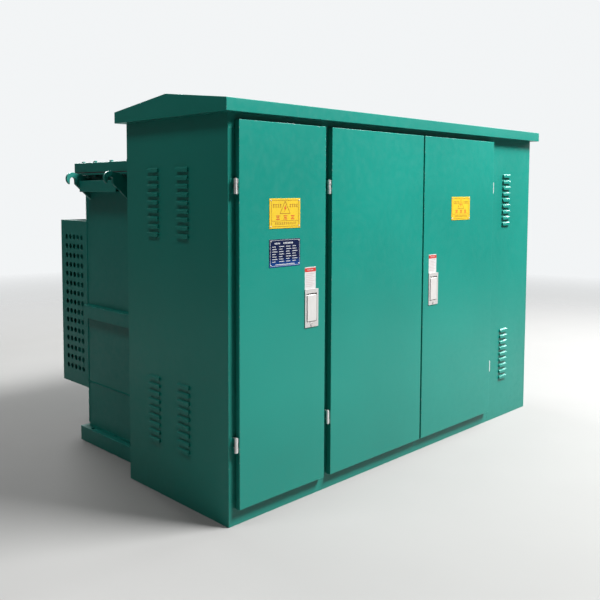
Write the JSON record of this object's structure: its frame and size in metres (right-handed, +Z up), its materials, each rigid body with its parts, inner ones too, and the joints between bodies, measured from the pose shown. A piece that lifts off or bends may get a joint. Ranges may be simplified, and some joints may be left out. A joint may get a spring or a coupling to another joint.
{
  "type": "pad-mounted transformer",
  "caption": "Green steel pad-mounted transformer: pitched-roof terminal cabinet with hinged, locking doors in front of an oil tank with lifting hooks and guarded radiators.",
  "frame": {"origin": "centre of the footprint, on the pad", "axes": "+X to the right as seen from the doors, -Y out of the doors, +Z up"},
  "size_m": [2.58, 1.7, 1.801],
  "materials": {
    "green_paint": "satin powder coat",
    "door_paint": "satin powder coat",
    "tank_paint": "satin enamel",
    "zinc_steel": "zinc plated",
    "lock_steel": "brushed stainless",
    "rubber": "matt",
    "sign_yellow": "printed aluminium",
    "plate_blue": "anodised aluminium",
    "core_steel": "laminated steel",
    "clamp_paint": "red oxide primer",
    "coil_paper": "oiled pressboard",
    "epoxy": "cast epoxy",
    "fuse_body": "glass-filled resin",
    "fuse_orange": "moulded resin",
    "copper": "tinned copper",
    "brass": "cast brass",
    "breaker_grey": "moulded case",
    "black_plastic": "moulded",
    "handle_yellow": "gloss paint",
    "knob_red": "gloss",
    "dial_white": "enamel",
    "needle_red": "enamel",
    "glass": "clear"
  },
  "bodies": {
    "cabinet_and_tank": {"cabinet_base": "green_paint", "frame_posts": "green_paint", "frame_rails": "green_paint", "left_side_panel": "green_paint", "right_side_panel": "green_paint", "front_right_panel": "green_paint", "roof": "green_paint", "hex_bolts": "zinc_steel", "compartment_barrier": "green_paint", "door_seals": "rubber", "frame_hinge_leaves": "green_paint", "hinge_pins": "zinc_steel", "tank_shell": "tank_paint", "tank_cover": "tank_paint", "cover_gasket": "rubber", "tank_ribs": "tank_paint", "tank_base": "tank_paint", "lifting_hooks": "tank_paint", "radiators": "tank_paint", "guard_sides": "tank_paint", "guard_rear": "tank_paint", "core": "core_steel", "core_clamps": "clamp_paint", "lv_coils": "coil_paper", "hv_coils": "coil_paper", "hv_bushings": "epoxy", "fuse_holders": "fuse_body", "load_break_switch": "fuse_body", "tap_changer": "fuse_body", "dial_gauges": "dial_white", "sight_glass": "glass", "tank_valves": "brass", "ground_bar": "copper", "lv_bushings": "epoxy", "lv_busbars": "copper", "breaker": "breaker_grey"},
    "hv_door": {"hv_door": "door_paint", "hv_hinge_leaves": "zinc_steel", "hv_lock_plate": "lock_steel", "hv_warning_sign": "sign_yellow", "nameplate": "plate_blue"},
    "hv_handle": {"hv_lock_handle": "lock_steel"},
    "hv_latch": {"hv_latch_bolt": "zinc_steel"},
    "lv_left_door": {"lv_left_door": "door_paint", "lv_left_hinge_leaves": "zinc_steel"},
    "lv_right_door": {"lv_right_door": "door_paint", "lv_right_hinge_leaves": "zinc_steel", "lv_lock_plate": "lock_steel", "lv_warning_sign": "sign_yellow"},
    "lv_handle": {"lv_lock_handle": "lock_steel"},
    "lv_latch": {"lv_latch_bolt": "zinc_steel"},
    "fuse_a": {"fuse_stick_a": "fuse_orange"},
    "fuse_b": {"fuse_stick_b": "fuse_orange"},
    "fuse_c": {"fuse_stick_c": "fuse_orange"},
    "switch_handle": {"switch_handle": "handle_yellow"},
    "tap_knob": {"tap_knob": "knob_red"},
    "breaker_toggle": {"breaker_toggle": "black_plastic"},
    "valve_wheel": {"valve_wheel": "knob_red"},
    "thermometer_pointer": {"thermometer_pointer": "needle_red"},
    "pressure_pointer": {"pressure_pointer": "needle_red"}
  },
  "joints": [
    {"name": "hv_door_hinge", "type": "hinge", "parent": "cabinet_and_tank", "child": "hv_door", "pos_m": [-1.224, -0.8275, 0.875], "axis": [0, 0, -1], "range_deg": [0, 120]},
    {"name": "lv_left_door_hinge", "type": "hinge", "parent": "cabinet_and_tank", "child": "lv_left_door", "pos_m": [-0.665, -0.8275, 0.875], "axis": [0, 0, -1], "range_deg": [0, 120]},
    {"name": "lv_right_door_hinge", "type": "hinge", "parent": "cabinet_and_tank", "child": "lv_right_door", "pos_m": [0.773, -0.8275, 0.875], "axis": [0, 0, 1], "range_deg": [0, 120]},
    {"name": "hv_handle_lift", "type": "hinge", "parent": "hv_door", "child": "hv_handle", "pos_m": [-0.789, -0.832, 0.924], "axis": [-1, 0, 0], "range_deg": [0, 40]},
    {"name": "lv_handle_lift", "type": "hinge", "parent": "lv_right_door", "child": "lv_handle", "pos_m": [0.159, -0.832, 0.924], "axis": [-1, 0, 0], "range_deg": [0, 40]},
    {"name": "hv_latch_slide", "type": "slide", "parent": "hv_door", "child": "hv_latch", "axis": [-1, 0, 0], "range_m": [0, 0.014]},
    {"name": "lv_latch_slide", "type": "slide", "parent": "lv_right_door", "child": "lv_latch", "axis": [1, 0, 0], "range_m": [0, 0.014]},
    {"name": "fuse_a_pull", "type": "slide", "parent": "cabinet_and_tank", "child": "fuse_a", "axis": [0, -1, 0], "range_m": [0, 0.34]},
    {"name": "fuse_b_pull", "type": "slide", "parent": "cabinet_and_tank", "child": "fuse_b", "axis": [0, -1, 0], "range_m": [0, 0.34]},
    {"name": "fuse_c_pull", "type": "slide", "parent": "cabinet_and_tank", "child": "fuse_c", "axis": [0, -1, 0], "range_m": [0, 0.34]},
    {"name": "switch_turn", "type": "hinge", "parent": "cabinet_and_tank", "child": "switch_handle", "pos_m": [-0.82, -0.125, 1.37], "axis": [0, -1, 0], "range_deg": [0, 90]},
    {"name": "tap_turn", "type": "hinge", "parent": "cabinet_and_tank", "child": "tap_knob", "pos_m": [-1.02, -0.115, 1.33], "axis": [0, -1, 0], "range_deg": [-60, 60]},
    {"name": "breaker_throw", "type": "hinge", "parent": "cabinet_and_tank", "child": "breaker_toggle", "pos_m": [0.025, -0.376, 0.71], "axis": [1, 0, 0], "range_deg": [0, 50]},
    {"name": "valve_wheel_turn", "type": "hinge", "parent": "cabinet_and_tank", "child": "valve_wheel", "pos_m": [-1, -0.172, 0.276], "axis": [0, 0, 1], "range_deg": [0, 720]},
    {"name": "thermometer_swing", "type": "hinge", "parent": "cabinet_and_tank", "child": "thermometer_pointer", "pos_m": [-1.02, -0.14, 0.76], "axis": [0, -1, 0], "range_deg": [-120, 120]},
    {"name": "pressure_swing", "type": "hinge", "parent": "cabinet_and_tank", "child": "pressure_pointer", "pos_m": [-0.9, -0.14, 0.76], "axis": [0, -1, 0], "range_deg": [-120, 120]}
  ],
  "couplings": [
    {"joint": "hv_latch_slide", "follows": "hv_handle_lift", "m_per_rad": 0.02},
    {"joint": "lv_latch_slide", "follows": "lv_handle_lift", "m_per_rad": 0.02}
  ]
}
